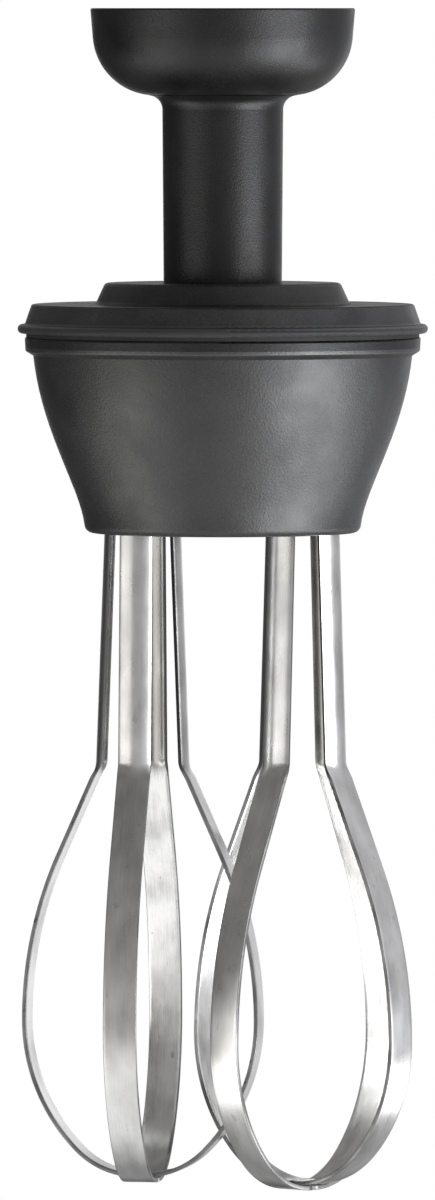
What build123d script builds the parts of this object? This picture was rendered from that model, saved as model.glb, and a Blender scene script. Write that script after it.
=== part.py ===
from build123d import *
from math import acos, atan2, cos, degrees, hypot, pi, radians, sin, sqrt, tan
import os

# Twin whisk attachment for a stick mixer. Millimetres, +Z up towards the motor unit,
# origin at the centre of the coupling cup's rim, whisks hanging down, front towards -Y.

# Fits shared by all pieces
running_clearance = 0.05
fixed_clearance = 0.02
end_float = 0.3

# Coupling cup and neck
cup_rim_radius = 27.8
cup_foot_radius = 26.3
cup_height = 18.3
cup_round = 13.1
cup_rim_round = 0.4
cup_floor = 3.8
cup_inner_round = 7.0
socket_radius = 24.0
socket_depth = 6.0
socket_shoulder = 2.0
bayonet_count = 3
bayonet_depth = 1.8
bayonet_land = 2.6
bayonet_height = 2.8
bayonet_entry_angle = 16.0
bayonet_turn_angle = 18.0
neck_top_radius = 12.72
neck_foot_radius = 12.42
neck_root_round = 2.95
neck_length = 39.3
neck_bore_radius = 6.4
neck_seat_depth = 0.8

# Gearbox cover
boss_edge_radius = 24.7
boss_foot_radius = 26.75
boss_height = 4.5
boss_edge_round = 1.1
boss_foot_round = 1.2
boss_plate = 3.0
cover_wall = 2.5
flange_edge_round = 0.6
skirt_height = 4.2
skirt_spread = 1.45
lip_thickness = 1.9
lip_overhang = 1.48
lip_edge_round = 0.9
lip_root_round = 0.45
vent_width = 2.5
vent_length = 1.1
vent_depth = 1.0

# Gasket and bowl
gasket_thickness = 0.8
gasket_inset = 0.3
band_height = 3.9
band_step = 1.78
band_draft = 0.15
band_chamfer = 1.0
band_round = 0.45
bowl_depth = 41.1
bowl_wall = 2.58
bowl_floor = 3.0
bowl_foot_round = 1.75
bowl_foot_wall = 2.6
bowl_shoulder_pull = 17.5
bowl_shoulder_lean = 6.2
bowl_foot_pull = 8.6
bowl_foot_lean = 1.0
spigot_wall = 1.8
spigot_height = 3.7
turret_wall = 1.8
turret_ceiling = 3.0
sleeve_wall = 2.5
idler_post_radius = 5.0

# Gears
whisk_offset = 16.8
whisk_gear_teeth = 28
idler_pinion_teeth = 10
idler_wheel_teeth = 35
input_pinion_teeth = 15
wheel_module = 0.8
pressure_angle = 25.0
tooth_addendum = 0.9
tooth_dedendum = 1.15
tooth_backlash = 0.16
gear_room = 2.56
gear_drop = 4.2
gear_width = 6.0
gear_web = 3.0
gear_rim = 3.2
gear_hub_wall = 2.6
wheel_width = 5.0
wheel_lift = 2.8
pinion_overlap = 0.3
pinion_collar = 1.7
idler_neck_radius = 5.2

# Shafts, bushes, clips and seals
shaft_radius = 5.0
shaft_end_radius = 3.0
shaft_flat_depth = 0.7
shaft_bush_radius = 7.0
shaft_bush_length = 9.0
driver_radius = 8.6
driver_height = 7.6
driver_cap = 1.0
driver_flutes = 6
driver_flute_radius = 1.7
driver_chamfer = 0.7
driver_pin_radius = 1.5
spindle_radius = 4.0
spindle_flat_depth = 0.8
spindle_bush_wall = 1.5
bush_flange_wall = 1.6
bush_flange = 1.0
seal_wall = 2.5
seal_height = 3.0
axle_radius = 2.5
axle_seat = 12.0
clip_thickness = 0.7
clip_groove = 0.45
clip_width = 2.2
clip_opening = 70.0
shaft_tail = 0.7

# Screws that hold the neck to the cover
neck_screw_count = 3
neck_screw_radius = 1.4
neck_screw_circle = 9.8
neck_screw_bite = 9.0
neck_screw_head_radius = 2.6
neck_screw_head = 1.9
screw_slot_width = 0.8
screw_slot_depth = 0.9

# Whisks: each has two crossed loops of flat strap on a tapered hub
strap_width = 7.0
strap_thickness = 0.9
channel_radius = 6.6
leg_lean = 2.13
kink_radius = 9.5
kink_below_bowl = 50.0
channel_runout = 2.0
loop_flare = 24.0
loop_turn = 45.0
loop_flat = 1.0
left_belly_radius = 24.85
left_belly_drop = 52.7
left_loop_depth = 33.6
left_loop_angle = -11.0
right_belly_radius = 26.2
right_belly_drop = 56.4
right_loop_depth = 31.5
interleave_angle = 40.0
hub_pocket_clearance = 0.7
hub_pocket_depth = 12.7
hub_end_room = 0.6
hub_height = 11.8
hub_end_wall = 3.5
ferrule_wall = 0.9
ferrule_height = 6.0
ferrule_set_down = 1.5

# Levels from the rim downwards
cup_bottom = -cup_height
cup_floor_top = cup_bottom + cup_floor
boss_top = cup_bottom - neck_length
neck_foot = boss_top - neck_seat_depth
boss_underside = neck_foot - boss_plate
flange_top = boss_top - boss_height
cover_underside = flange_top - cover_wall
lip_top = flange_top - skirt_height
lip_bottom = lip_top - lip_thickness
band_top = lip_bottom - gasket_thickness
shoulder_level = band_top - band_height
bowl_bottom = band_top - bowl_depth
floor_top = bowl_bottom + bowl_floor
gear_top = shoulder_level - gear_drop
gear_bottom = gear_top - gear_width
wheel_bottom = gear_top + wheel_lift
wheel_top = wheel_bottom + wheel_width
pinion_bottom = wheel_bottom - pinion_overlap
pinion_top = wheel_top + pinion_collar
pocket_top = bowl_bottom + hub_pocket_depth
seal_top = pocket_top + seal_height
sleeve_top = gear_bottom - end_float - bush_flange
hub_bottom = pocket_top - hub_end_room - hub_height
hub_top = hub_bottom + hub_height
ferrule_top = hub_top - ferrule_set_down
ferrule_bottom = ferrule_top - ferrule_height
kink_level = bowl_bottom - kink_below_bowl
driver_bottom = cup_floor_top + end_float
driver_top = driver_bottom + driver_height

# Gear centres: the two whisk gears mesh with each other, the idler sits behind them
gear_module = 2 * whisk_offset / whisk_gear_teeth
gear_tip_radius = whisk_offset + tooth_addendum * gear_module
idler_to_whisk = gear_module * (whisk_gear_teeth + idler_pinion_teeth) / 2
idler_to_shaft = wheel_module * (idler_wheel_teeth + input_pinion_teeth) / 2
idler_x = (idler_to_whisk**2 - idler_to_shaft**2 - whisk_offset**2) / (2 * whisk_offset)
idler_y = sqrt(idler_to_shaft**2 - idler_x**2)

# Radii of the housing, worked out from the mechanism inside it
shoulder_radius = whisk_offset + gear_tip_radius + gear_room + bowl_wall
spigot_inner_radius = shoulder_radius - bowl_wall
spigot_radius = spigot_inner_radius + spigot_wall
band_radius = shoulder_radius + band_step
skirt_top_radius = band_radius - skirt_spread
lip_radius = band_radius + lip_overhang
spindle_bush_radius = spindle_radius + spindle_bush_wall
seal_radius = spindle_radius + seal_wall


def leg_radius(level):
    """Distance of a leg's middle surface from the whisk's axis."""
    return kink_radius - (level - kink_level) * tan(radians(leg_lean))


ferrule_radius = leg_radius(ferrule_bottom) + strap_thickness / 2 + fixed_clearance + ferrule_wall
pocket_radius = ferrule_radius + hub_pocket_clearance
foot_radius = whisk_offset + pocket_radius + bowl_foot_wall


def rod(radius, low, high):
    """Round bar about the Z axis between two levels."""
    return Pos(0, 0, (low + high) / 2) * Cylinder(radius, high - low)


def tube(radius, bore, low, high):
    """Round tube about the Z axis between two levels."""
    return rod(radius, low, high) - rod(bore, low, high)


def turned(outline):
    """Solid of revolution from a closed outline in radius and height."""
    return revolve(Plane.XZ * make_face(outline), axis=Axis.Z)


def cone_ring(outer_low, outer_high, inner_low, inner_high, low, high):
    """Tapered ring about the Z axis."""
    corners = [(inner_low, low), (outer_low, low), (outer_high, high), (inner_high, high)]
    return turned(Polyline(*corners, close=True))


def spring_clip(groove_radius, low):
    """Open retaining ring that sits in a shaft groove."""
    ring = tube(groove_radius + clip_width, groove_radius + fixed_clearance, low, low + clip_thickness)
    reach = 2 * (groove_radius + clip_width)
    spread = reach * tan(radians(clip_opening / 2))
    wedge = make_face(Polyline((0, 0), (reach, -spread), (reach, spread), close=True))
    return ring - Pos(0, 0, low) * extrude(wedge, clip_thickness)


def flatted(radius, flat_depth):
    """Round section with one flat on its +X side, for keyed seats."""
    return Circle(radius) - Pos(2 * radius - flat_depth, 0) * Rectangle(2 * radius, 2 * radius)


def polar(radius, angle):
    return (radius * cos(angle), radius * sin(angle))


def gear_section(module, teeth, phase):
    """Involute gear outline with a tooth centred at the phase angle, in degrees."""
    pitch_radius = module * teeth / 2
    pressure = radians(pressure_angle)
    base_radius = pitch_radius * cos(pressure)
    tip_radius = pitch_radius + tooth_addendum * module
    root_radius = pitch_radius - tooth_dedendum * module
    pitch_half_angle = (pi * module / 2 - tooth_backlash) / (2 * pitch_radius)

    def half_angle(radius):
        slope = acos(min(1, base_radius / radius))
        return pitch_half_angle + tan(pressure) - pressure - tan(slope) + slope

    outline = []
    step = 2 * pi / teeth
    for tooth in range(teeth):
        middle = radians(phase) + tooth * step
        rise = [polar(r, middle - half_angle(r)) for r in (root_radius, pitch_radius, tip_radius)]
        fall = [polar(r, middle + half_angle(r)) for r in (tip_radius, pitch_radius, root_radius)]
        next_root = polar(root_radius, middle + step - half_angle(root_radius))
        outline.append(ThreePointArc(*rise))
        outline.append(Line(rise[-1], fall[0]))
        outline.append(ThreePointArc(*fall))
        outline.append(Line(fall[-1], next_root))
    return make_face(outline)


def meshing_phase(teeth, phase, mating_teeth, bearing):
    """Phase of a mating gear whose gap meets the first gear's tooth along the bearing."""
    tooth_share = (bearing - phase) * teeth / 360
    return bearing + 180 - (0.5 - tooth_share) * 360 / mating_teeth


left_gear_phase = 0.0
right_gear_phase = meshing_phase(whisk_gear_teeth, left_gear_phase, whisk_gear_teeth, 0.0)
bearing_to_idler = degrees(atan2(idler_y, idler_x + whisk_offset))
idler_phase = meshing_phase(whisk_gear_teeth, left_gear_phase, idler_pinion_teeth, bearing_to_idler)
bearing_to_shaft = degrees(atan2(-idler_y, -idler_x))
input_phase = meshing_phase(idler_wheel_teeth, idler_phase, input_pinion_teeth, bearing_to_shaft)
right_loop_angle = interleave_angle - left_loop_angle - 90


def make_coupling_neck():
    """Cup with its bayonet socket, and the tapered neck below it, moulded as one piece."""
    foot_turn = pi / 2 - atan2(cup_rim_radius - cup_foot_radius, cup_height)
    flat_width = cup_foot_radius - neck_top_radius
    widest_round = (flat_width - fixed_clearance) / tan(foot_turn / 2)
    outer = FilletPolyline(
        (0, 0),
        (cup_rim_radius, 0),
        (cup_foot_radius, cup_bottom),
        (neck_top_radius, cup_bottom),
        (neck_foot_radius, neck_foot),
        (0, neck_foot),
        radius=[0, cup_rim_round, min(cup_round, widest_round), neck_root_round, 0, 0],
        close=True,
    )
    cavity_radius = socket_radius - socket_shoulder
    cavity = FilletPolyline(
        (0, -socket_depth),
        (cavity_radius, -socket_depth),
        (cavity_radius, cup_floor_top),
        (0, cup_floor_top),
        radius=[0, 0, cup_inner_round, 0],
        close=True,
    )
    neck = turned(outer) - rod(socket_radius, -socket_depth, 0) - turned(cavity)
    neck -= rod(neck_bore_radius, neck_foot, cup_floor_top)
    neck -= rod(shaft_bush_radius, cup_floor_top - shaft_bush_length, cup_floor_top)
    neck -= rod(shaft_bush_radius, neck_foot, neck_foot + shaft_bush_length)
    groove_radius = socket_radius + bayonet_depth
    entry = Plane.XZ * Polyline(
        (cavity_radius, 0),
        (groove_radius, 0),
        (groove_radius, -bayonet_land),
        (cavity_radius, -bayonet_land),
        close=True,
    )
    run = Pos(0, 0, -bayonet_land) * Plane.XZ * Polyline(
        (cavity_radius, 0),
        (groove_radius, 0),
        (groove_radius, -bayonet_height),
        (cavity_radius, -bayonet_height),
        close=True,
    )
    slot = revolve(make_face(entry), axis=Axis.Z, revolution_arc=bayonet_entry_angle)
    slot += revolve(make_face(run), axis=Axis.Z, revolution_arc=bayonet_entry_angle + bayonet_turn_angle)
    for turn in range(bayonet_count):
        neck -= Rot(0, 0, turn * 360 / bayonet_count) * slot
    for place in PolarLocations(neck_screw_circle, neck_screw_count):
        neck -= place * rod(neck_screw_radius + fixed_clearance, neck_foot, neck_foot + neck_screw_bite)
    return neck


def make_neck_screws():
    """Pan-head screws driven up through the cover's boss into the neck."""
    shank = rod(neck_screw_radius, boss_underside, neck_foot + neck_screw_bite - end_float)
    head_low = boss_underside - neck_screw_head
    head = rod(neck_screw_head_radius, head_low, boss_underside)
    slot_high = head_low + screw_slot_depth
    slot = Pos(0, 0, (head_low + slot_high) / 2) * Box(
        2 * neck_screw_head_radius, screw_slot_width, screw_slot_depth
    )
    screw = shank + head - slot
    return Compound(
        children=[place * screw for place in PolarLocations(neck_screw_circle, neck_screw_count)]
    )


def make_gearbox_cover():
    """Cover with the boss that carries the neck, a flat flange and a rolled lip."""
    outer = FilletPolyline(
        (0, boss_top),
        (boss_edge_radius, boss_top),
        (boss_foot_radius, flange_top),
        (skirt_top_radius, flange_top),
        (band_radius, lip_top),
        (lip_radius, lip_top),
        (lip_radius, lip_bottom),
        (0, lip_bottom),
        radius=[
            0,
            boss_edge_round,
            boss_foot_round,
            flange_edge_round,
            lip_root_round,
            lip_edge_round,
            lip_edge_round,
            0,
        ],
        close=True,
    )
    cover = turned(outer)
    cover -= rod(spigot_radius + fixed_clearance, lip_bottom, cover_underside)
    cover -= rod(boss_foot_radius - cover_wall, cover_underside, boss_underside)
    cover -= rod(neck_foot_radius + fixed_clearance, neck_foot, boss_top)
    cover -= rod(shaft_radius + end_float, boss_underside, neck_foot)
    for place in PolarLocations(neck_screw_circle, neck_screw_count):
        cover -= place * rod(neck_screw_radius + fixed_clearance, boss_underside, neck_foot)
    vent_radius = boss_foot_radius + boss_foot_round + vent_length / 2
    vent = Box(vent_width, vent_length, 2 * vent_depth)
    return cover - Pos(0, -vent_radius, flange_top) * vent


def make_cover_gasket():
    """Flat ring squeezed between the cover's lip and the bowl's rim."""
    return tube(band_radius - gasket_inset, spigot_radius + fixed_clearance, band_top, lip_bottom)


def bowl_half(inset):
    """Half outline of the bowl, from its shoulder to its foot, with the side moved in by the inset."""
    shoulder = Vector(shoulder_radius - inset, shoulder_level)
    foot = Vector(foot_radius - inset, bowl_bottom)
    shoulder_lean = radians(bowl_shoulder_lean)
    foot_lean = radians(bowl_foot_lean)
    side = Bezier(
        shoulder,
        shoulder - Vector(sin(shoulder_lean), cos(shoulder_lean)) * bowl_shoulder_pull,
        foot + Vector(sin(foot_lean), cos(foot_lean)) * bowl_foot_pull,
        foot,
    )
    return [side, Polyline(foot, (0, bowl_bottom), (0, shoulder_level), shoulder)]


def make_gearbox_bowl():
    """Bowl with a threaded-on rim, two spindle turrets open below and a post for the idler."""
    rim = FilletPolyline(
        (0, shoulder_level),
        (shoulder_radius, shoulder_level),
        (band_radius - band_draft, shoulder_level + band_chamfer),
        (band_radius, band_top),
        (0, band_top),
        radius=[0, 0, band_round, band_round, 0],
        close=True,
    )
    bowl = turned(rim) + rod(spigot_radius, band_top, band_top + spigot_height)
    body = turned(bowl_half(0))
    foot_edge = body.edges().filter_by(GeomType.CIRCLE).sort_by(Axis.Z)[0]
    bowl += fillet(foot_edge, bowl_foot_round)
    cavity = turned(bowl_half(bowl_wall)) - rod(shoulder_radius, bowl_bottom, floor_top)
    cavity += rod(spigot_inner_radius, shoulder_level, band_top + spigot_height)
    turret_top = pocket_top + turret_ceiling
    sleeve_radius = seal_radius + sleeve_wall
    for side_x in (-whisk_offset, whisk_offset):
        cavity -= Pos(side_x, 0) * rod(pocket_radius + turret_wall, bowl_bottom, turret_top)
        cavity -= Pos(side_x, 0) * rod(sleeve_radius, turret_top, sleeve_top)
    post_top = gear_bottom - end_float
    cavity -= Pos(idler_x, idler_y) * rod(idler_post_radius, bowl_bottom, post_top)
    bowl -= cavity
    for side_x in (-whisk_offset, whisk_offset):
        bowl -= Pos(side_x, 0) * rod(pocket_radius, bowl_bottom, pocket_top)
        bowl -= Pos(side_x, 0) * rod(seal_radius, pocket_top, seal_top)
        bowl -= Pos(side_x, 0) * rod(spindle_bush_radius, seal_top, sleeve_top)
    bowl -= Pos(idler_x, idler_y) * rod(axle_radius + fixed_clearance, post_top - axle_seat, post_top)
    return bowl


def make_drive_coupling():
    """Fluted driver on top of the input shaft, taken by the motor unit's socket."""
    driver = rod(driver_radius, driver_bottom, driver_top)
    driver = chamfer(driver.edges().sort_by(Axis.Z)[-1], driver_chamfer)
    for place in PolarLocations(driver_radius, driver_flutes):
        driver -= place * rod(driver_flute_radius, driver_bottom, driver_top)
    driver -= rod(shaft_radius + fixed_clearance, driver_bottom, driver_top - driver_cap)
    return driver - cross_pin(driver_pin_radius + fixed_clearance)


def cross_pin(radius):
    """Pin across the driver and the shaft, between two flutes."""
    level = driver_bottom + driver_height / 2
    half_flute = 180 / driver_flutes
    length = 2 * (driver_radius - driver_flute_radius / 2)
    return Rot(0, 0, half_flute) * Pos(0, 0, level) * Rot(0, 90, 0) * Cylinder(radius, length)


shaft_clip_level = pinion_bottom - clip_thickness - fixed_clearance
shaft_end = shaft_clip_level - shaft_tail


def make_input_shaft():
    """Steel shaft from the driver down to the pinion, with a stepped and flatted end."""
    shaft = rod(shaft_radius, pinion_top, driver_top - driver_cap - fixed_clearance)
    seat = extrude(flatted(shaft_end_radius, shaft_flat_depth), pinion_top - shaft_end)
    shaft += Pos(0, 0, shaft_end) * seat
    groove_radius = shaft_end_radius - clip_groove
    shaft -= tube(
        shaft_radius, groove_radius, shaft_clip_level, shaft_clip_level + clip_thickness + fixed_clearance
    )
    return shaft - cross_pin(driver_pin_radius + fixed_clearance)


def make_shaft_bush(low):
    """Sintered bush for the input shaft."""
    return tube(
        shaft_bush_radius - fixed_clearance, shaft_radius + running_clearance, low, low + shaft_bush_length
    )


def make_input_pinion():
    """Small pinion keyed to the lower end of the input shaft."""
    section = gear_section(wheel_module, input_pinion_teeth, input_phase)
    section -= flatted(shaft_end_radius + fixed_clearance, shaft_flat_depth)
    return Pos(0, 0, pinion_bottom) * extrude(section, pinion_top - pinion_bottom)


def make_idler_gear():
    """Compound idler: wheel above, pinion below, one moulding that turns on the axle."""
    wheel = extrude(gear_section(wheel_module, idler_wheel_teeth, idler_phase), wheel_width)
    pinion = extrude(gear_section(gear_module, idler_pinion_teeth, idler_phase), gear_width)
    gear = Pos(0, 0, wheel_bottom) * wheel + Pos(0, 0, gear_bottom) * pinion
    gear += rod(idler_neck_radius, gear_top, wheel_bottom)
    gear -= rod(axle_radius + running_clearance, gear_bottom, wheel_top)
    return Pos(idler_x, idler_y) * gear


idler_clip_level = wheel_top + end_float


def make_idler_axle():
    """Fixed pin pressed into the bowl's post."""
    low = gear_bottom - end_float - axle_seat
    groove_top = idler_clip_level + clip_thickness + fixed_clearance
    axle = rod(axle_radius, low, groove_top + shaft_tail)
    axle -= tube(2 * axle_radius, axle_radius - clip_groove, idler_clip_level, groove_top)
    return Pos(idler_x, idler_y) * axle


def make_whisk_gear(phase):
    """Whisk gear with a thinner web between rim and hub, keyed to the spindle."""
    gear = extrude(gear_section(gear_module, whisk_gear_teeth, phase), gear_width)
    root_radius = whisk_offset - tooth_dedendum * gear_module
    recess_depth = (gear_width - gear_web) / 2
    hub_radius = spindle_radius + gear_hub_wall
    recess = tube(root_radius - gear_rim, hub_radius, 0, recess_depth)
    gear -= recess + Pos(0, 0, gear_width - recess_depth) * recess
    gear -= extrude(flatted(spindle_radius + fixed_clearance, spindle_flat_depth), gear_width)
    return Pos(0, 0, gear_bottom) * gear


gear_clip_level = gear_top + fixed_clearance
spindle_low = hub_bottom + hub_end_wall
gear_groove_top = gear_clip_level + clip_thickness + fixed_clearance
spindle_high = gear_groove_top + shaft_tail


def make_spindle():
    """Steel spindle, flatted where it carries the gear, with a groove for its clip."""
    spindle = rod(spindle_radius, spindle_low, gear_bottom)
    seat = extrude(flatted(spindle_radius, spindle_flat_depth), spindle_high - gear_bottom)
    spindle += Pos(0, 0, gear_bottom) * seat
    return spindle - tube(2 * spindle_radius, spindle_radius - clip_groove, gear_clip_level, gear_groove_top)


def make_spindle_bush():
    """Flanged bush in the turret's sleeve; the gear runs on its flange."""
    bore = spindle_radius + running_clearance
    bush = tube(spindle_bush_radius - fixed_clearance, bore, seal_top, sleeve_top)
    return bush + tube(spindle_bush_radius + bush_flange_wall, bore, sleeve_top, sleeve_top + bush_flange)


def make_lip_seal():
    """Rubber seal under the bush that keeps liquid out of the gearbox."""
    bore = spindle_radius + running_clearance
    return tube(seal_radius - fixed_clearance, bore, pocket_top, seal_top)


def hub_radius_at(level):
    """Radius of the tapered hub that just clears the edges of the channel legs."""
    half_angle = strap_width / (2 * channel_radius)
    inner = channel_radius - strap_thickness / 2
    edge_x = leg_radius(level) - channel_radius + inner * cos(half_angle)
    return hypot(edge_x, inner * sin(half_angle)) - running_clearance


def make_hub():
    """Tapered core moulded on the spindle; the strap legs lie on its outside."""
    low_edge = (hub_radius_at(hub_bottom), hub_bottom)
    high_edge = (hub_radius_at(hub_top), hub_top)
    hub = turned(Polyline((0, hub_bottom), low_edge, high_edge, (0, hub_top), close=True))
    return hub - rod(spindle_radius + fixed_clearance, spindle_low, hub_top)


def make_ferrule():
    """Steel ring that clamps the four legs on the hub."""
    low = leg_radius(ferrule_bottom) + strap_thickness / 2 + fixed_clearance
    high = leg_radius(ferrule_top) + strap_thickness / 2 + fixed_clearance
    return cone_ring(low + ferrule_wall, high + ferrule_wall, low, high, ferrule_bottom, ferrule_top)


def channel_section():
    """Leg section: strap rolled to a shallow channel, crown at the origin, outward along X."""
    half_angle = strap_width / (2 * channel_radius)
    outer = channel_radius + strap_thickness / 2
    inner = channel_radius - strap_thickness / 2

    def at(radius, angle):
        return (radius * cos(angle) - channel_radius, radius * sin(angle))

    return make_face(
        [
            ThreePointArc(at(outer, -half_angle), at(outer, 0), at(outer, half_angle)),
            Line(at(outer, half_angle), at(inner, half_angle)),
            ThreePointArc(at(inner, half_angle), at(inner, 0), at(inner, -half_angle)),
            Line(at(inner, -half_angle), at(outer, -half_angle)),
        ]
    )


def bow_radii(belly_radius, loop_depth):
    """Radii of the two arcs that take a loop from its belly round to its flat bottom."""
    turn = radians(loop_turn)
    narrow = belly_radius - loop_flat
    share = (1 - cos(turn)) * (1 - sin(turn)) - cos(turn) * sin(turn)
    lower = (narrow * (1 - sin(turn)) - loop_depth * cos(turn)) / share
    corner = (loop_depth * (1 - cos(turn)) - narrow * sin(turn)) / share
    return lower, corner


def crossing_rise(belly_radius, loop_depth):
    """How far a loop's inner face climbs under the edges of the strap that crosses it."""
    bend = bow_radii(belly_radius, loop_depth)[1] - strap_thickness / 2
    return bend - sqrt(bend**2 - (strap_width / 2 - loop_flat) ** 2)


def strap_edge(offset, belly_radius, belly_drop, loop_depth):
    """One face of half a loop, from the kink to the flat bottom, offset outwards from the middle."""
    flare = radians(loop_flare)
    turn = radians(loop_turn)
    lower, corner = bow_radii(belly_radius, loop_depth)
    widen = belly_radius - kink_radius
    upper = (belly_drop - widen / tan(flare)) / tan(flare / 2)
    belly_level = kink_level - belly_drop
    upper_centre = (belly_radius - upper, belly_level)
    lower_centre = Vector(belly_radius - lower, belly_level)
    corner_centre = lower_centre + Vector(cos(turn), -sin(turn)) * (lower - corner)
    along = Vector(sin(flare), -cos(flare))
    outward = Vector(cos(flare), sin(flare))
    start = Vector(kink_radius, kink_level) + along * channel_runout + outward * offset
    upper_arc = CenterArc(upper_centre, upper + offset, loop_flare, -loop_flare)
    lower_arc = CenterArc(lower_centre, lower + offset, 0, -loop_turn)
    corner_arc = CenterArc(corner_centre, corner + offset, -loop_turn, loop_turn - 90)
    bottom = Vector(0, (corner_arc @ 1).Y)
    return [Line(start, upper_arc @ 0), upper_arc, lower_arc, corner_arc, Line(corner_arc @ 1, bottom)]


def make_loop(belly_radius, belly_drop, loop_depth, angle):
    """One loop: two channel legs that run out into a flat strap bent round to a closed bow."""
    half = strap_thickness / 2
    outer = strap_edge(half, belly_radius, belly_drop, loop_depth)
    inner = strap_edge(-half, belly_radius, belly_drop, loop_depth)
    ends = [Line(outer[0] @ 0, inner[0] @ 0), Line(outer[-1] @ 1, inner[-1] @ 1)]
    bow = extrude(Plane.XZ * make_face(outer + inner + ends), strap_width / 2, both=True)
    lean = radians(leg_lean)
    flare = radians(loop_flare)
    leg_up = Vector(-sin(lean), 0, cos(lean))
    strap_up = Vector(-sin(flare), 0, cos(flare))
    kink = Vector(kink_radius, 0, kink_level)
    leg_plane = Plane(kink + leg_up * channel_runout, x_dir=(cos(lean), 0, sin(lean)), z_dir=leg_up)
    strap_plane = Plane(kink - strap_up * channel_runout, x_dir=(cos(flare), 0, sin(flare)), z_dir=strap_up)
    leg_foot = leg_plane * channel_section()
    strap_head = strap_plane * Rectangle(strap_thickness, strap_width)
    leg_length = (hub_top - leg_plane.origin.Z) / cos(lean)
    side = bow + loft([strap_head, leg_foot], ruled=True) + extrude(leg_foot, leg_length)
    return Rot(0, 0, angle) * (side + mirror(side, about=Plane.YZ))


def whisk_pieces(name, side_x, gear_phase, belly_radius, belly_drop, loop_depth, angle):
    """All the pieces of one whisk and its bearing, in place."""
    rise = crossing_rise(belly_radius, loop_depth)
    inner_depth = loop_depth - strap_thickness - rise - fixed_clearance
    pieces = {
        "whisk_gear": make_whisk_gear(gear_phase),
        "gear_clip": spring_clip(spindle_radius - clip_groove, gear_clip_level),
        "spindle": make_spindle(),
        "spindle_bush": make_spindle_bush(),
        "lip_seal": make_lip_seal(),
        "hub": make_hub(),
        "ferrule": make_ferrule(),
        "inner_loop": make_loop(belly_radius, belly_drop, inner_depth, angle),
        "outer_loop": make_loop(belly_radius, belly_drop, loop_depth, angle + 90),
    }
    return {f"{name}_{piece}": Pos(side_x, 0) * solid for piece, solid in pieces.items()}


nodes = {
    "coupling_neck": make_coupling_neck(),
    "neck_screws": make_neck_screws(),
    "gearbox_cover": make_gearbox_cover(),
    "cover_gasket": make_cover_gasket(),
    "gearbox_bowl": make_gearbox_bowl(),
    "drive_coupling": make_drive_coupling(),
    "coupling_pin": cross_pin(driver_pin_radius),
    "input_shaft": make_input_shaft(),
    "upper_shaft_bush": make_shaft_bush(cup_floor_top - shaft_bush_length),
    "lower_shaft_bush": make_shaft_bush(neck_foot),
    "input_pinion": make_input_pinion(),
    "pinion_clip": spring_clip(shaft_end_radius - clip_groove, shaft_clip_level),
    "idler_gear": make_idler_gear(),
    "idler_axle": make_idler_axle(),
    "idler_clip": Pos(idler_x, idler_y) * spring_clip(axle_radius - clip_groove, idler_clip_level),
}
left_bow = (left_belly_radius, left_belly_drop, left_loop_depth)
right_bow = (right_belly_radius, right_belly_drop, right_loop_depth)
nodes |= whisk_pieces("left", -whisk_offset, left_gear_phase, *left_bow, left_loop_angle)
nodes |= whisk_pieces("right", whisk_offset, right_gear_phase, *right_bow, right_loop_angle)

os.makedirs("parts", exist_ok=True)
for node, solid in nodes.items():
    export_step(solid, f"parts/{node}.step")
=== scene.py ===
from math import cos, pi, radians, sin, sqrt, tan

import bpy
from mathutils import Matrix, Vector


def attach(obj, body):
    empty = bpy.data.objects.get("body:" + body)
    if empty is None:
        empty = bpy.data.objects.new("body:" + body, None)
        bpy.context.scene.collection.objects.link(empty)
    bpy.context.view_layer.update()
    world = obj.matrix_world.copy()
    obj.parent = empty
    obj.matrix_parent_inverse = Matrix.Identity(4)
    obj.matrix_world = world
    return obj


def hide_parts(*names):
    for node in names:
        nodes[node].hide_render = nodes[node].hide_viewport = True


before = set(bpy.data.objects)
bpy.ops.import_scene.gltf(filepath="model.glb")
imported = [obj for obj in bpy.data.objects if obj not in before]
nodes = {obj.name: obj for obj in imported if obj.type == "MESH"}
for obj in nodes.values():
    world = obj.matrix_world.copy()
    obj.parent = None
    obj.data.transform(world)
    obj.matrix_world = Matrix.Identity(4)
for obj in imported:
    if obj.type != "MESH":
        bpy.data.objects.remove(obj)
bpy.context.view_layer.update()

# Coupling cup and neck: one moulding in black glass-filled nylon with a fine matte skin. The cup
# takes the motor unit's nose in a bayonet; the neck stands in the cover's boss, held by screws.
cup_black = (0.004, 0.004, 0.0043, 1)
cup_handled = (0.011, 0.011, 0.0118, 1)
cup_sheen = 0.38
cup_gloss = 0.37
cup_grain = 0.00002
cup_grain_size = 0.00032


def start_finish(name):
    """New material with its shader and the place on the piece, in metres."""
    finish = bpy.data.materials.new(name)
    finish.use_nodes = True
    tree = finish.node_tree
    place = tree.nodes.new("ShaderNodeTexCoord").outputs["Object"]
    return finish, tree, tree.nodes["Principled BSDF"], place


def blotches(tree, place, size, low, high, stretch=(1, 1, 1), detail=3.0, ends=(0.3, 0.7)):
    """Cloudy pattern with patches of the given size, mapped to run from low to high."""
    spread = tree.nodes.new("ShaderNodeMapping")
    spread.inputs["Scale"].default_value = stretch
    tree.links.new(place, spread.inputs["Vector"])
    cloud = tree.nodes.new("ShaderNodeTexNoise")
    cloud.inputs["Scale"].default_value = 1 / size
    cloud.inputs["Detail"].default_value = detail
    tree.links.new(spread.outputs["Vector"], cloud.inputs["Vector"])
    ramp = tree.nodes.new("ShaderNodeMapRange")
    ramp.inputs["From Min"].default_value = ends[0]
    ramp.inputs["From Max"].default_value = ends[1]
    ramp.inputs["To Min"].default_value = low
    ramp.inputs["To Max"].default_value = high
    tree.links.new(cloud.outputs["Fac"], ramp.inputs["Value"])
    return ramp.outputs["Result"]


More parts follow.
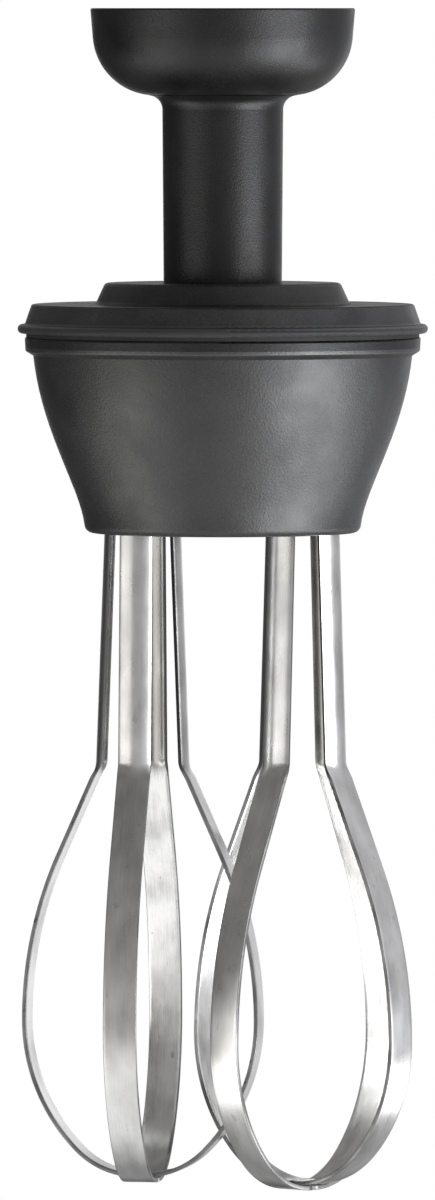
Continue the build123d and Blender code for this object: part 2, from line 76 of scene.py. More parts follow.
def two_tones(tree, share, first, second):
    """Colour that goes from the first tone, or the colour so far, to the second by the share."""
    mix = tree.nodes.new("ShaderNodeMix")
    mix.data_type = "RGBA"
    tree.links.new(share, mix.inputs["Factor"])
    for socket in mix.inputs:
        if socket.type == "RGBA" and socket.name == "A":
            if isinstance(first, tuple):
                socket.default_value = first
            else:
                tree.links.new(first, socket)
        if socket.type == "RGBA" and socket.name == "B":
            socket.default_value = second
    return next(socket for socket in mix.outputs if socket.type == "RGBA")


def add_shares(tree, first, second):
    """Sum of two shares, kept between 0 and 1."""
    total = tree.nodes.new("ShaderNodeMath")
    total.operation = "ADD"
    total.use_clamp = True
    tree.links.new(first, total.inputs[0])
    tree.links.new(second, total.inputs[1])
    return total.outputs["Value"]


def relief(tree, shader, height, depth):
    """Surface relief of the given depth in metres."""
    bump = tree.nodes.new("ShaderNodeBump")
    bump.inputs["Distance"].default_value = depth
    tree.links.new(height, bump.inputs["Height"])
    tree.links.new(bump.outputs["Normal"], shader.inputs["Normal"])


def axis_distance(tree, place):
    """Distance from the upright axis through the cup."""
    flat = tree.nodes.new("ShaderNodeVectorMath")
    flat.operation = "MULTIPLY"
    flat.inputs[1].default_value = (1, 1, 0)
    tree.links.new(place, flat.inputs[0])
    radius = tree.nodes.new("ShaderNodeVectorMath")
    radius.operation = "LENGTH"
    tree.links.new(flat.outputs["Vector"], radius.inputs[0])
    return radius.outputs["Value"]


def rim_wear_and_highlight(tree, place, start, end):
    """Share that grows towards a rim, painted lighter there: partly rubbed wear, partly a painted
    highlight.
    """
    worn = tree.nodes.new("ShaderNodeMapRange")
    worn.inputs["From Min"].default_value = start
    worn.inputs["From Max"].default_value = end
    tree.links.new(axis_distance(tree, place), worn.inputs["Value"])
    return worn.outputs["Result"]


def level_gloss(tree, place, lowest, *changes):
    """Gloss by level: the lowest part's, then what it turns to between two levels, going up."""
    spot = tree.nodes.new("ShaderNodeSeparateXYZ")
    tree.links.new(place, spot.inputs["Vector"])
    below = None
    for low, high, gloss in changes:
        change = tree.nodes.new("ShaderNodeMapRange")
        change.inputs["From Min"].default_value = low
        change.inputs["From Max"].default_value = high
        change.inputs["To Min"].default_value = lowest
        change.inputs["To Max"].default_value = gloss
        if below:
            tree.links.new(below, change.inputs["To Min"])
        tree.links.new(spot.outputs["Z"], change.inputs["Value"])
        below = change.outputs["Result"]
    return below


def moulded_finish(name, dark, handled, sheen, gloss, grain, grain_size, rim=None, levels=None):
    """Matte moulding: eroded grain, cloudy handling marks, a few rubbed streaks, and a rim painted lighter
    as wear and as a painted highlight.
    """
    finish, tree, shader, place = start_finish(name)
    clouds = blotches(tree, place, 0.011, 0.0, 0.55)
    specks = blotches(tree, place, grain_size, -0.25, 0.45, detail=2.0, ends=(0.35, 0.75))
    rubbed = blotches(tree, place, 0.004, 0.0, 0.5, stretch=(1, 1, 0.12), detail=5.0, ends=(0.62, 0.78))
    share = add_shares(tree, add_shares(tree, clouds, specks), rubbed)
    if rim:
        share = add_shares(tree, share, rim_wear_and_highlight(tree, place, *rim))
    tree.links.new(two_tones(tree, share, dark, handled), shader.inputs["Base Color"])
    haze = blotches(tree, place, 0.007, sheen - 0.05, sheen + 0.07)
    tree.links.new(haze, shader.inputs["Roughness"])
    shader.inputs["Specular IOR Level"].default_value = gloss
    if levels:
        tree.links.new(level_gloss(tree, place, *levels), shader.inputs["Specular IOR Level"])
    relief(tree, shader, blotches(tree, place, grain_size, 0, 1, detail=3.0), grain)
    return finish


def dress(finish, *names):
    """Gives CAD pieces their finish."""
    for name in names:
        nodes[name].material_slots[0].material = finish


cup_finish = moulded_finish(
    "cup_moulding", cup_black, cup_handled, cup_sheen, cup_gloss, cup_grain, cup_grain_size
)
dress(cup_finish, "coupling_neck")

# Turn sign on the cup: an open padlock over an arrow, the way the cup is turned to take it off.
# It is part of the moulding, a thin raised line a little smoother than the skin around it.
sign_line = 0.00042
sign_rise = 0.00006
sign_root = 0.0003
sign_bearing = radians(-30)
sign_level = -0.0031
sign_black = (0.006, 0.006, 0.007, 1)
sign_rubbed = (0.012, 0.012, 0.013, 1)
sign_sheen = 0.4
sign_grain = 0.000005
sign_grain_size = 0.0002
cup_rim_radius = 0.0278
cup_foot_radius = 0.0263
cup_height = 0.0183


def on_cup(along, up, rise):
    """Point on the cup's wall, from the distance along it and above the sign's middle."""
    level = sign_level + up
    radius = cup_rim_radius + (cup_foot_radius - cup_rim_radius) * -level / cup_height + rise
    bearing = sign_bearing + along / cup_rim_radius
    return (radius * sin(bearing), -radius * cos(bearing), level)


def raised_line(points, closed):
    """Vertices and faces of a raised line along points on the cup's wall."""
    count = len(points)
    vertices, faces = [], []
    for i, (x, y) in enumerate(points):
        before = points[i - 1] if closed or i > 0 else points[i]
        after = points[(i + 1) % count] if closed or i < count - 1 else points[i]
        length_in = sqrt((x - before[0]) ** 2 + (y - before[1]) ** 2) or 1
        length_out = sqrt((after[0] - x) ** 2 + (after[1] - y) ** 2) or 1
        way_in = ((x - before[0]) / length_in, (y - before[1]) / length_in)
        way_out = ((after[0] - x) / length_out, (after[1] - y) / length_out)
        way = (way_in[0] + way_out[0], way_in[1] + way_out[1])
        size = sqrt(way[0] ** 2 + way[1] ** 2)
        side = (-way[1] / size, way[0] / size)
        turn = max(0.4, abs(side[0] * -way_out[1] + side[1] * way_out[0])) if way_out != (0, 0) else 1
        half = sign_line / 2 / turn
        for sign in (1, -1):
            for rise in (sign_rise, -sign_root):
                vertices.append(on_cup(x + sign * half * side[0], y + sign * half * side[1], rise))
    for i in range(count if closed else count - 1):
        a = 4 * i
        b = 4 * ((i + 1) % count)
        faces += [(a, b, b + 2, a + 2), (a + 1, a + 3, b + 3, b + 1)]
        faces += [(a, a + 1, b + 1, b), (a + 2, b + 2, b + 3, a + 3)]
    if not closed:
        last = 4 * (count - 1)
        faces += [(0, 2, 3, 1), (last, last + 1, last + 3, last + 2)]
    return vertices, faces


def add_piece(name, vertices, faces):
    """New mesh piece in the row frame."""
    mesh = bpy.data.meshes.new(name)
    mesh.from_pydata(vertices, [], faces)
    mesh.validate()
    piece = bpy.data.objects.new(name, mesh)
    bpy.context.scene.collection.objects.link(piece)
    return piece


shackle = [(-0.0006, 0.0013), (-0.0006, 0.0019)]
shackle += [(-0.0006 * cos(pi * i / 8), 0.0019 + 0.0006 * sin(pi * i / 8)) for i in range(1, 8)]
shackle += [(0.0006, 0.0019), (0.0006, 0.0017)]
lock_body = [(-0.0011, 0.0012), (0.0011, 0.0012), (0.0011, -0.0003), (-0.0011, -0.0003)]
arrow_shaft = [(-0.0040 + 0.008 * i / 12, -0.0019) for i in range(13)]
arrow_head = [(0.0027, -0.0011), (0.0040, -0.0019), (0.0027, -0.0027)]
sign_vertices, sign_faces = [], []
for line, closed in ((shackle, False), (lock_body, True), (arrow_shaft, False), (arrow_head, False)):
    line_vertices, line_faces = raised_line(line, closed)
    first = len(sign_vertices)
    sign_vertices += line_vertices
    sign_faces += [tuple(first + v for v in face) for face in line_faces]
turn_sign = add_piece("turn_sign", sign_vertices, sign_faces)
sign_finish = moulded_finish(
    "sign_moulding", sign_black, sign_rubbed, sign_sheen, cup_gloss, sign_grain, sign_grain_size
)
turn_sign.data.materials.append(sign_finish)
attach(turn_sign, "housing")

# Driver in the cup, with its cross pin: a fluted black moulding that the motor unit's socket
# turns. Shaft, pin, spindles and ferrules are ground steel, with fine rings left by turning.
driver_black = (0.045, 0.045, 0.046, 1)
driver_rubbed = (0.085, 0.085, 0.086, 1)
steel_dark = (0.42, 0.42, 0.42, 1)
steel_pale = (0.62, 0.62, 0.61, 1)


def machined_finish(name, dark, pale, roughness, rings):
    """Machined metal: fine rings round the axis and a cloudy tarnish."""
    finish, tree, shader, place = start_finish(name)
    shader.inputs["Metallic"].default_value = 1.0
    turned = blotches(tree, place, 0.0004, 0.0, 0.6, stretch=(0.04, 0.04, 1), detail=4.0)
    tarnish = blotches(tree, place, 0.005, 0.0, 0.5)
    colour = two_tones(tree, add_shares(tree, turned, tarnish), dark, pale)
    tree.links.new(colour, shader.inputs["Base Color"])
    haze = blotches(tree, place, 0.003, roughness - 0.05, roughness + 0.08)
    tree.links.new(haze, shader.inputs["Roughness"])
    relief(tree, shader, turned, rings)
    return finish


driver_finish = moulded_finish("driver_moulding", driver_black, driver_rubbed, 0.5, 0.5, 0.00002, 0.0003)
dress(driver_finish, "drive_coupling")
ground_steel = machined_finish("ground_steel", steel_dark, steel_pale, 0.28, 0.000004)
dress(ground_steel, "input_shaft", "coupling_pin")

# Bushes for the shaft and the spindles: pressed from bronze powder and soaked in oil, so the
# face is dull and porous. They are pushed into the neck and into the bowl's two turrets.
bronze_dark = (0.25, 0.15, 0.07, 1)
bronze_pale = (0.52, 0.36, 0.19, 1)
bush_finish = machined_finish("sintered_bronze", bronze_dark, bronze_pale, 0.5, 0.00001)
dress(bush_finish, "upper_shaft_bush", "lower_shaft_bush", "left_spindle_bush", "right_spindle_bush")

# Screws under the boss: zinc-plated steel with a slotted pan head. The spring clips on the shaft
# ends are blued spring steel, stamped and pushed into their grooves.
zinc_finish = machined_finish("zinc_plate", (0.40, 0.40, 0.42, 1), (0.62, 0.62, 0.63, 1), 0.35, 0.000004)
dress(zinc_finish, "neck_screws")
blued_finish = machined_finish("blued_steel", (0.10, 0.10, 0.13, 1), (0.24, 0.24, 0.28, 1), 0.3, 0.000003)
dress(blued_finish, "pinion_clip", "idler_clip", "left_gear_clip", "right_gear_clip")

# Gearbox cover: a black moulding with a low boss, a flat flange and a lip rolled out over the
# bowl. Its edge is painted lighter, as rubbed wear and as a painted highlight, and stays dull underneath.
cover_black = (0.011, 0.011, 0.0114, 1)
cover_handled_and_lip_highlight = (0.038, 0.038, 0.0393, 1)
cover_sheen = 0.40
cover_gloss = 0.5
cover_grain = 0.000016
cover_grain_size = 0.0003
# The lip is painted lighter towards its edge, partly rubbed wear and partly a painted highlight.
lip_wear_and_highlight = (0.0416, 0.0436)
lip_under = 0.08
lip_edge = 1.2
lip_gloss = (lip_under, (-0.0669, -0.0665, lip_edge), (-0.0661, -0.0657, cover_gloss))
cover_finish = moulded_finish(
    "cover_moulding", cover_black, cover_handled_and_lip_highlight, cover_sheen, cover_gloss, cover_grain, cover_grain_size,
    lip_wear_and_highlight, lip_gloss,
)
dress(cover_finish, "gearbox_cover")

# Gasket under the lip and the two lip seals: black nitrile rubber, moulded with a dull bloom.
# The gasket shows as the dark line between cover and bowl.
rubber_black = (0.008, 0.008, 0.008, 1)
rubber_bloom = (0.020, 0.020, 0.021, 1)
rubber_finish = moulded_finish("nitrile_rubber", rubber_black, rubber_bloom, 0.7, 0.4, 0.00001, 0.0004)
dress(rubber_finish, "cover_gasket", "left_lip_seal", "right_lip_seal")

# Gearbox bowl: a dark grey glass-filled moulding with a satin skin of fine eroded grain. It holds
# the gears and bushes, and the whisks come out of two round pockets in its floor. The smooth band
# under the cover is duller, down to its step.
bowl_grey = (0.006, 0.006, 0.0063, 1)
bowl_rubbed = (0.019, 0.019, 0.0198, 1)
bowl_sheen = 0.42
bowl_gloss = 0.63
bowl_grain = 0.000026
bowl_grain_size = 0.00045
step_gloss = 0.9
band_dull = 0.32
band_gloss = (bowl_gloss, (-0.0722, -0.0721, step_gloss), (-0.07125, -0.0711, band_dull))
bowl_finish = moulded_finish(
    "bowl_moulding", bowl_grey, bowl_rubbed, bowl_sheen, bowl_gloss, bowl_grain, bowl_grain_size,
    levels=band_gloss,
)
dress(bowl_finish, "gearbox_bowl")

# Gear train: white acetal wheels and a brass pinion, greased, closed in between cover and bowl.
# The whisk gears sit on flats of their spindles and the idler turns on a fixed axle.
acetal = (0.74, 0.72, 0.66, 1)
acetal_greased = (0.80, 0.78, 0.73, 1)
gear_finish = moulded_finish("natural_acetal", acetal, acetal_greased, 0.38, 0.5, 0.000004, 0.0005)
dress(gear_finish, "idler_gear", "left_whisk_gear", "right_whisk_gear")
brass_finish = machined_finish("cut_brass", (0.52, 0.36, 0.12, 1), (0.76, 0.58, 0.26, 1), 0.28, 0.000004)
dress(brass_finish, "input_pinion")
dress(ground_steel, "idler_axle")

# Hubs in the bowl's pockets: each whisk's four legs lie on a tapered black core that is moulded
# onto the spindle, and a turned steel ferrule clamps them there.
dress(driver_finish, "left_hub", "right_hub")
dress(ground_steel, "left_spindle", "right_spindle", "left_ferrule", "right_ferrule")

# Strap loops: each whisk has two crossed loops of 7 mm stainless strap, rolled with a satin grain
# along its length. The legs are pressed to a shallow channel and run out flat at the kink.
strap_width = 0.0070
strap_thickness = 0.0009
strap_edge_round = 0.00014
strap_strips = 10
channel_radius = 0.0066
channel_runout = 0.0020
leg_lean = radians(2.13)
leg_top = -0.0980
kink_radius = 0.0095
kink_level = -0.1601
kink_steps = 14
loop_flare = radians(24)
loop_turn = radians(45)
loop_flat = 0.0010
weld_gap = 0.00002
station_gap = 0.0012
weld_offset = 0.0020
weld_core = 0.0004
weld_burn = 0.0011
weld_soot = (0.05, 0.045, 0.04, 1)
outside_tones = ((0.50, 0.495, 0.49, 1), (0.82, 0.815, 0.81, 1))
# The strap edges are painted far darker than the faces: painted shade along the edges.
edge_shade_tones = ((0.07, 0.07, 0.07, 1), (0.36, 0.357, 0.353, 1))
inside_tones = ((0.30, 0.295, 0.285, 1), (0.98, 0.975, 0.965, 1))


def bow_radii(belly_radius, loop_depth):
    """Radii of the two arcs that take a loop from its belly round to its flat bottom."""
    narrow = belly_radius - loop_flat
    share = (1 - cos(loop_turn)) * (1 - sin(loop_turn)) - cos(loop_turn) * sin(loop_turn)
    lower = (narrow * (1 - sin(loop_turn)) - loop_depth * cos(loop_turn)) / share
    corner = (loop_depth * (1 - cos(loop_turn)) - narrow * sin(loop_turn)) / share
    return lower, corner


def leg_and_bow(belly_radius, belly_drop, loop_depth):
    """Middle line of half a loop: outward place, level, lean and channel share at each station."""
    widen = belly_radius - kink_radius
    upper = (belly_drop - widen / tan(loop_flare)) / tan(loop_flare / 2)
    lower, corner = bow_radii(belly_radius, loop_depth)
    belly_level = kink_level - belly_drop
    kink = Vector((kink_radius, kink_level))
    leg_end = kink + Vector((-sin(leg_lean), cos(leg_lean))) * channel_runout
    strap_start = kink + Vector((sin(loop_flare), -cos(loop_flare))) * channel_runout
    stations = []

    def line(first, last, lean, channel, gap):
        steps = max(1, round((last - first).length / gap))
        for i in range(steps):
            stations.append((*first.lerp(last, i / steps), lean, channel))

    def arc(centre, radius, lean_from, lean_to):
        steps = max(2, round(radius * abs(lean_to - lean_from) / station_gap))
        for i in range(steps):
            lean = lean_from + (lean_to - lean_from) * i / steps
            stations.append((centre[0] + radius * cos(lean), centre[1] + radius * sin(lean), lean, 0.0))

    rise = (leg_top - leg_end.y) / cos(leg_lean)
    leg_start = leg_end + Vector((-sin(leg_lean), cos(leg_lean))) * rise
    line(leg_start, leg_end, leg_lean, 1.0, 3 * station_gap)
    for i in range(kink_steps):
        t = i / kink_steps
        spot = leg_end.lerp(kink, t).lerp(kink.lerp(strap_start, t), t)
        stations.append((*spot, leg_lean + (loop_flare - leg_lean) * t**3, 1 - t * t * (3 - 2 * t)))
    upper_centre = Vector((belly_radius - upper, belly_level))
    arc_start = upper_centre + Vector((cos(loop_flare), sin(loop_flare))) * upper
    line(strap_start, arc_start, loop_flare, 0.0, station_gap)
    arc(upper_centre, upper, loop_flare, 0)
    lower_centre = (belly_radius - lower, belly_level)
    arc(lower_centre, lower, 0, -loop_turn)
    corner_centre = (
        lower_centre[0] + (lower - corner) * cos(loop_turn),
        lower_centre[1] - (lower - corner) * sin(loop_turn),
    )
    arc(corner_centre, corner, -loop_turn, -pi / 2)
    bottom = corner_centre[1] - corner
    line(Vector((loop_flat, bottom)), Vector((0, bottom)), -pi / 2, 0.0, station_gap)
    stations.append((0, bottom, -pi / 2, 0.0))
    return stations


def strap_section():
    """Section of the flat strap: place across it and height above its middle, edges rounded."""
    half_width = strap_width / 2
    half = strap_thickness / 2
    r = strap_edge_round
    span = half_width - r
    section = []
    for side in (1, -1):
        for i in range(strap_strips + 1):
            section.append((side * (span - 2 * span * i / strap_strips), side * half))
        for turn in (radians(30), radians(60)):
            section.append((-side * (span + r * sin(turn)), side * (half - r + r * cos(turn))))
        section.append((-side * half_width, side * (half - r)))
        section.append((-side * half_width, -side * (half - r)))
        for turn in (radians(60), radians(30)):
            section.append((-side * (span + r * sin(turn)), -side * (half - r + r * cos(turn))))
    return section


def strap_loop(name, belly_radius, belly_drop, loop_depth, angle, axis_x):
    """One loop as a swept mesh, with its length and width laid out for the grain."""
    half_loop = leg_and_bow(belly_radius, belly_drop, loop_depth)
    stations = [(x, z, lean, channel, 1) for x, z, lean, channel in half_loop]
    stations += [(x, z, lean, channel, -1) for x, z, lean, channel in reversed(half_loop[:-1])]
    section = strap_section()
    turn_x, turn_y = cos(angle), sin(angle)
    vertices, lengths, pressed = [], [], []
    length = 0.0
    for i, (x, z, lean, channel, side) in enumerate(stations):
        if i:
            before = stations[i - 1]
            length += sqrt((x * side - before[0] * before[4]) ** 2 + (z - before[1]) ** 2)
        lengths.append(length)
        bend = channel / channel_radius
        pressed += [channel] * len(section)
        for across, height in section:
            if bend:
                swing = across * bend
                out = (cos(swing) - 1) / bend + height * cos(swing)
                along = sin(swing) / bend + height * sin(swing)
            else:
                out, along = height, across
            place = side * (x + out * cos(lean))
            level = z + out * sin(lean)
            along *= side
            spot = (axis_x + place * turn_x - along * turn_y, place * turn_y + along * turn_x, level)
            vertices.append(spot)
    size = len(section)
    faces = []
    for i in range(len(stations) - 1):
        for k in range(size):
            a = i * size + k
            b = i * size + (k + 1) % size
            faces.append((a, a + size, b + size, b))
    faces.append(tuple(range(size)))
    faces.append(tuple(reversed(range((len(stations) - 1) * size, len(stations) * size))))
    piece = add_piece(name, vertices, faces)
    mesh = piece.data
    half = size // 2
    for face in mesh.polygons[:-2]:
        k = face.index % size
        face.material_index = 1
        if k < strap_strips:
            face.material_index = 0
        elif half <= k < half + strap_strips:
            face.material_index = 2
    layout = mesh.uv_layers.new(name="grain")
    for loop in mesh.loops:
        station, k = divmod(loop.vertex_index, size)
        across, height = section[k]
        layout.data[loop.index].uv = (lengths[station], across + height)
    for face in mesh.polygons:
        face.use_smooth = len(face.vertices) == 4
    mesh.attributes.new("pressed", "FLOAT", "POINT").data.foreach_set("value", pressed)
    return piece, length


def bow_reflection_and_leg_darkening(tree, rubbed, darkening):
    """Change from the bow, painted lighter there as a painted reflection, to the darker legs above it."""
    pressed = tree.nodes.new("ShaderNodeAttribute")
    pressed.attribute_name = "pressed"
    drop = tree.nodes.new("ShaderNodeMapRange")
    drop.inputs["To Min"].default_value = rubbed
    drop.inputs["To Max"].default_value = -darkening
    tree.links.new(pressed.outputs["Fac"], drop.inputs["Value"])
    return drop.outputs["Result"]


def moved(tree, vector, shift):
    """Place on the strap, counted from another point."""
    step = tree.nodes.new("ShaderNodeVectorMath")
    step.inputs[1].default_value = shift
    tree.links.new(vector, step.inputs[0])
    return step.outputs["Vector"]


def weld_burns(tree, strip, middle):
    """Share of the two burnt spots that welding left on the crossing, each side of its middle."""
    sides = tree.nodes.new("ShaderNodeVectorMath")
    sides.operation = "ABSOLUTE"
    tree.links.new(moved(tree, strip, (-middle, 0, 0)), sides.inputs[0])
    off = tree.nodes.new("ShaderNodeVectorMath")
    off.operation = "LENGTH"
    tree.links.new(moved(tree, sides.outputs["Vector"], (-weld_offset, 0, 0)), off.inputs[0])
    burn = tree.nodes.new("ShaderNodeMapRange")
    burn.interpolation_type = "SMOOTHSTEP"
    burn.inputs["From Min"].default_value = weld_burn
    burn.inputs["From Max"].default_value = weld_core
    burn.inputs["To Max"].default_value = 0.9
    tree.links.new(off.outputs["Value"], burn.inputs["Value"])
    return burn.outputs["Result"]


def strap_finish(name, seed, middle, tones, roughness, grain_depth, bow_painted_reflection, leg_darkening):
    """Rolled stainless: fine grain along the strap, cloudy stains, scratches, scuffs and weld burns; bows
    painted lighter as a painted reflection, legs darker.
    """
    finish, tree, shader, place = start_finish(name)
    shader.inputs["Metallic"].default_value = 1.0
    layout = tree.nodes.new("ShaderNodeUVMap")
    layout.uv_map = "grain"
    strip = moved(tree, layout.outputs["UV"], (seed, seed, 0))
    grain = blotches(tree, strip, 0.00018, 0.25, 0.55, stretch=(0.02, 1, 1), detail=3.0)
    stains = blotches(tree, strip, 0.007, -0.40, 0.45, stretch=(0.6, 1, 1), detail=5.0)
    share = add_shares(tree, stains, grain)
    long_marks, short_marks = (0.05, 1, 1), (0.5, 1, 1)
    scratches = blotches(tree, strip, 0.0008, 0.0, -0.9, long_marks, detail=2.0, ends=(0.70, 0.78))
    scuffs = blotches(tree, strip, 0.0016, 0.0, -0.8, short_marks, detail=6.0, ends=(0.66, 0.74))
    for mark in (scratches, scuffs, bow_reflection_and_leg_darkening(tree, bow_painted_reflection, leg_darkening)):
        share = add_shares(tree, share, mark)
    burns = weld_burns(tree, layout.outputs["UV"], middle)
    colour = two_tones(tree, burns, two_tones(tree, share, *tones), weld_soot)
    tree.links.new(colour, shader.inputs["Base Color"])
    haze = blotches(tree, strip, 0.005, roughness - 0.05, roughness + 0.05, stretch=(0.5, 1, 1))
    tree.links.new(haze, shader.inputs["Roughness"])
    relief(tree, shader, grain, grain_depth)
    return finish


# Per face: tones, roughness, grain depth, how much lighter the bows are painted (a painted reflection) and
# how much darker the legs; on the edges the darker legs are painted shade.
strap_faces = (
    ("outside", outside_tones, 0.30, 0.0000010, 0.0, 0.0),
    ("edge", edge_shade_tones, 0.48, 0.0000001, 0.0, 0.8),
    ("inside", inside_tones, 0.22, 0.0000005, 0.42, 0.6),
)
whisks = (
    ("left", -0.0168, 0.02485, 0.0527, 0.0336, radians(-11)),
    ("right", 0.0168, 0.0262, 0.0564, 0.0315, radians(-39)),
)
for side, axis_x, belly_radius, belly_drop, loop_depth, angle in whisks:
    bend = bow_radii(belly_radius, loop_depth)[1] - strap_thickness / 2
    rise = bend - sqrt(bend**2 - (strap_width / 2 - loop_flat) ** 2)
    inner_depth = loop_depth - strap_thickness - rise - weld_gap
    inner = strap_loop(f"{side}_inner_strap", belly_radius, belly_drop, inner_depth, angle, axis_x)
    outer = strap_loop(f"{side}_outer_strap", belly_radius, belly_drop, loop_depth, angle + pi / 2, axis_x)
    for loop, (strap, length) in (("inner", inner), ("outer", outer)):
        for face, *finish in strap_faces:
            seed = 0.4 * len(bpy.data.materials)
            strap.data.materials.append(strap_finish(f"{side}_{loop}_{face}", seed, length / 2, *finish))
        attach(strap, f"{side}_whisk")
        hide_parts(f"{side}_{loop}_loop")

# Studio: a table top in white paper far below the hanging whisks, white behind the object and a darker
# room round it. A near soft box stands at the right and a far one at the left, each with a low reflector.
table_level = -0.62
table_half = 0.70
table_front = -1.40
table_back = 0.50
paper_white = (0.86, 0.86, 0.86, 1)
near_floor = 0.12
far_floor = 0.55
near_glow = 0.15
# Glow of the paper as seen in reflections: painted bright in front of the object and dim behind it.
front_glow = 1.0
back_glow = 0.34


def graded(tree, value, start, end, low, high):
    """Value turned into an even, smooth run from low to high between two places."""
    run = tree.nodes.new("ShaderNodeMapRange")
    run.interpolation_type = "SMOOTHSTEP"
    run.inputs["From Min"].default_value = start
    run.inputs["From Max"].default_value = end
    run.inputs["To Min"].default_value = low
    run.inputs["To Max"].default_value = high
    tree.links.new(value, run.inputs["Value"])
    return run.outputs["Result"]


def joined(tree, operation, first, second):
    """Two values put together by a sum, a product or the like."""
    join = tree.nodes.new("ShaderNodeMath")
    join.operation = operation
    tree.links.new(first, join.inputs[0])
    tree.links.new(second, join.inputs[1])
    return join.outputs["Value"]


def blended(tree, share, first, second):
    """Level that goes from the first to the second by the share; each is a number or a socket."""
    mix = tree.nodes.new("ShaderNodeMix")
    mix.data_type = "FLOAT"
    tree.links.new(share, mix.inputs["Factor"])
    for socket, level in ((mix.inputs["A"], first), (mix.inputs["B"], second)):
        if isinstance(level, float):
            socket.default_value = level
        else:
            tree.links.new(level, socket)
    return mix.outputs["Result"]


floor = add_piece(
    "studio_floor",
    [
        (-table_half, table_front, table_level),
        (table_half, table_front, table_level),
        (table_half, table_back, table_level),
        (-table_half, table_back, table_level),
    ],
    [(0, 1, 2, 3)],
)
paper, tree, shader, place = start_finish("white_paper")
paper.cycles.emission_sampling = "NONE"
shader.inputs["Base Color"].default_value = paper_white
shader.inputs["Roughness"].default_value = 0.9
shader.inputs["Specular IOR Level"].default_value = 0.0
rays = tree.nodes.new("ShaderNodeLightPath")
seen = add_shares(tree, rays.outputs["Is Camera Ray"], rays.outputs["Is Transmission Ray"])
fade = graded(tree, axis_distance(tree, place), near_floor, far_floor, near_glow, 1.0)
shown = joined(tree, "MULTIPLY", seen, fade)
spot = tree.nodes.new("ShaderNodeSeparateXYZ")
tree.links.new(place, spot.inputs["Vector"])
# In reflections the paper glows, painted bright in front of the object and dim behind it: a painted
# reflection.
depth = graded(tree, spot.outputs["Y"], -0.10, 0.04, front_glow, back_glow)
white = tree.nodes.new("ShaderNodeEmission")
tree.links.new(blended(tree, rays.outputs["Is Glossy Ray"], 1.0, depth), white.inputs["Strength"])
blank = tree.nodes.new("ShaderNodeMixShader")
tree.links.new(add_shares(tree, shown, rays.outputs["Is Glossy Ray"]), blank.inputs["Fac"])
tree.links.new(shader.outputs["BSDF"], blank.inputs[1])
tree.links.new(white.outputs["Emission"], blank.inputs[2])
under = tree.nodes.new("ShaderNodeNewGeometry")
clear = tree.nodes.new("ShaderNodeBsdfTransparent")
sided = tree.nodes.new("ShaderNodeMixShader")
tree.links.new(under.outputs["Backfacing"], sided.inputs["Fac"])
tree.links.new(blank.outputs["Shader"], sided.inputs[1])
tree.links.new(clear.outputs["BSDF"], sided.inputs[2])
tree.links.new(sided.outputs["Shader"], tree.nodes["Material Output"].inputs["Surface"])
floor.data.materials.append(paper)

room_light = 0.36
room_dark = 0.09
room_front = 0.45
room_overhead = 0.25
room_zenith = 0.17
room_screen = 0.55
room_right = 0.36
room_right_high = 0.55
warm_white = (1.0, 0.985, 0.965, 1)
cool_white = (0.965, 0.975, 1.0, 1)

room = bpy.data.worlds.new("studio")
bpy.context.scene.world = room
room.use_nodes = True
room.cycles.sampling_method = "NONE"
sky = room.node_tree
rays = sky.nodes.new("ShaderNodeLightPath")
way = sky.nodes.new("ShaderNodeSeparateXYZ")
sky.links.new(sky.nodes.new("ShaderNodeTexCoord").outputs["Generated"], way.inputs["Vector"])
behind = graded(sky, way.outputs["Y"], 0.94, 0.992, room_dark, 1.0)
screen = graded(sky, way.outputs["X"], 0.10, 0.30, 0.0, room_screen)
screen = joined(sky, "MULTIPLY", screen, graded(sky, way.outputs["Y"], 0.80, 0.93, 0.0, 1.0))
behind = joined(sky, "ADD", behind, screen)
before = graded(sky, way.outputs["Y"], -0.80, -0.95, 0.0, room_front - room_dark)
around = joined(sky, "ADD", behind, before)
above = graded(sky, way.outputs["Z"], 0.55, 0.90, room_overhead, room_zenith)
mirrored = blended(sky, graded(sky, way.outputs["Z"], 0.12, 0.40, 0.0, 1.0), around, above)
right = graded(sky, way.outputs["X"], 0.05, 0.55, 0.0, 1.0)
right_level = graded(sky, way.outputs["Z"], 0.35, 0.70, room_right, room_right_high)
mirrored = joined(sky, "ADD", mirrored, joined(sky, "MULTIPLY", right, right_level))
lit = sky.nodes["Background"]
sky.links.new(blended(sky, rays.outputs["Is Glossy Ray"], room_light, mirrored), lit.inputs["Strength"])
sides = graded(sky, way.outputs["X"], -0.6, 0.6, 0.0, 1.0)
sky.links.new(two_tones(sky, sides, warm_white, cool_white), lit.inputs["Color"])
backdrop = sky.nodes.new("ShaderNodeBackground")
backdrop.inputs["Color"].default_value = (1, 1, 1, 1)
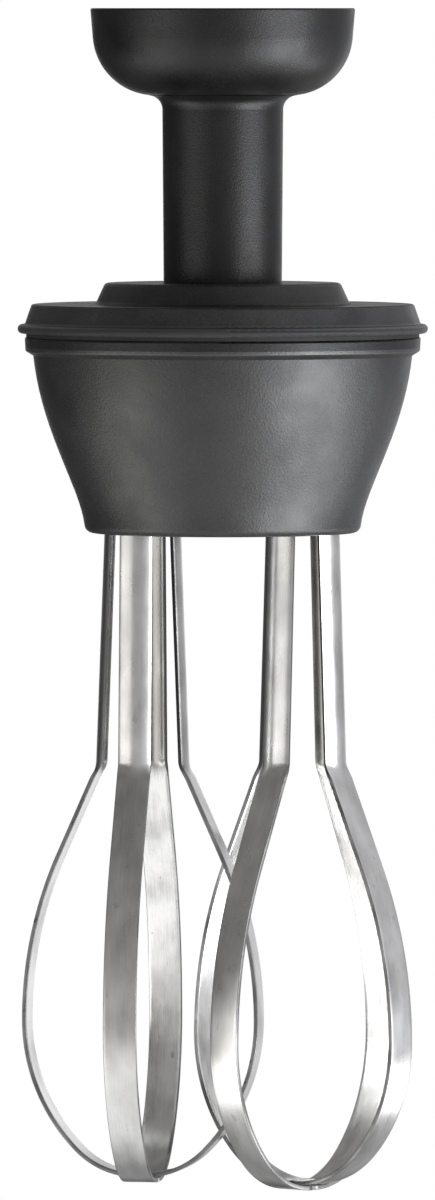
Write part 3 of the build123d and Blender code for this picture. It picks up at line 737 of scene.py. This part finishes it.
either = sky.nodes.new("ShaderNodeMixShader")
seen = add_shares(sky, rays.outputs["Is Camera Ray"], rays.outputs["Is Transmission Ray"])
sky.links.new(seen, either.inputs["Fac"])
sky.links.new(lit.outputs["Background"], either.inputs[1])
sky.links.new(backdrop.outputs["Background"], either.inputs[2])
sky.links.new(either.outputs["Shader"], sky.nodes["World Output"].inputs["Surface"])


cool_lamp = (0.97, 0.98, 1.0)
warm_lamp = (1.0, 0.985, 0.96)


def soft_box(name, tint, bearing, distance, width, bottom, top, brightness):
    """Upright soft lamp that faces the object; the bearing is from the camera round to the right."""
    lamp = bpy.data.lights.new(name, "AREA")
    lamp.shape = "RECTANGLE"
    lamp.size = width
    lamp.size_y = top - bottom
    lamp.energy = pi * brightness * width * (top - bottom)
    lamp.color = tint
    box = bpy.data.objects.new(name, lamp)
    bpy.context.scene.collection.objects.link(box)
    turn = radians(bearing)
    box.location = (distance * sin(turn), -distance * cos(turn), (bottom + top) / 2)
    box.rotation_euler = (pi / 2, 0, turn)
    box.visible_camera = False
    return box


soft_box("right_box", cool_lamp, 57, 0.60, width=0.50, bottom=-0.60, top=-0.068, brightness=8.0)
soft_box("right_reflector", cool_lamp, 97, 0.60, width=0.36, bottom=-0.60, top=-0.38, brightness=4.8)
soft_box("left_box", warm_lamp, -57, 2.0, width=1.75, bottom=-1.40, top=-0.06, brightness=2.1)
soft_box("left_reflector", warm_lamp, -80, 0.55, width=0.55, bottom=-0.60, top=-0.36, brightness=2.4)

# Camera: a long lens at the height of the cup's rim, straight in front of the object.
eye = Vector((-0.0011, -2.94, 0.0))
aim = Vector((-0.0011, 0.0, -0.1243))
camera = bpy.data.objects.new("camera", bpy.data.cameras.new("camera"))
bpy.context.scene.collection.objects.link(camera)
camera.data.lens = 420
camera.data.sensor_width = 36
camera.data.clip_end = 30
camera.location = eye
camera.rotation_euler = (aim - eye).to_track_quat("-Z", "Y").to_euler()
bpy.context.scene.camera = camera
bpy.context.scene.view_settings.view_transform = "Standard"
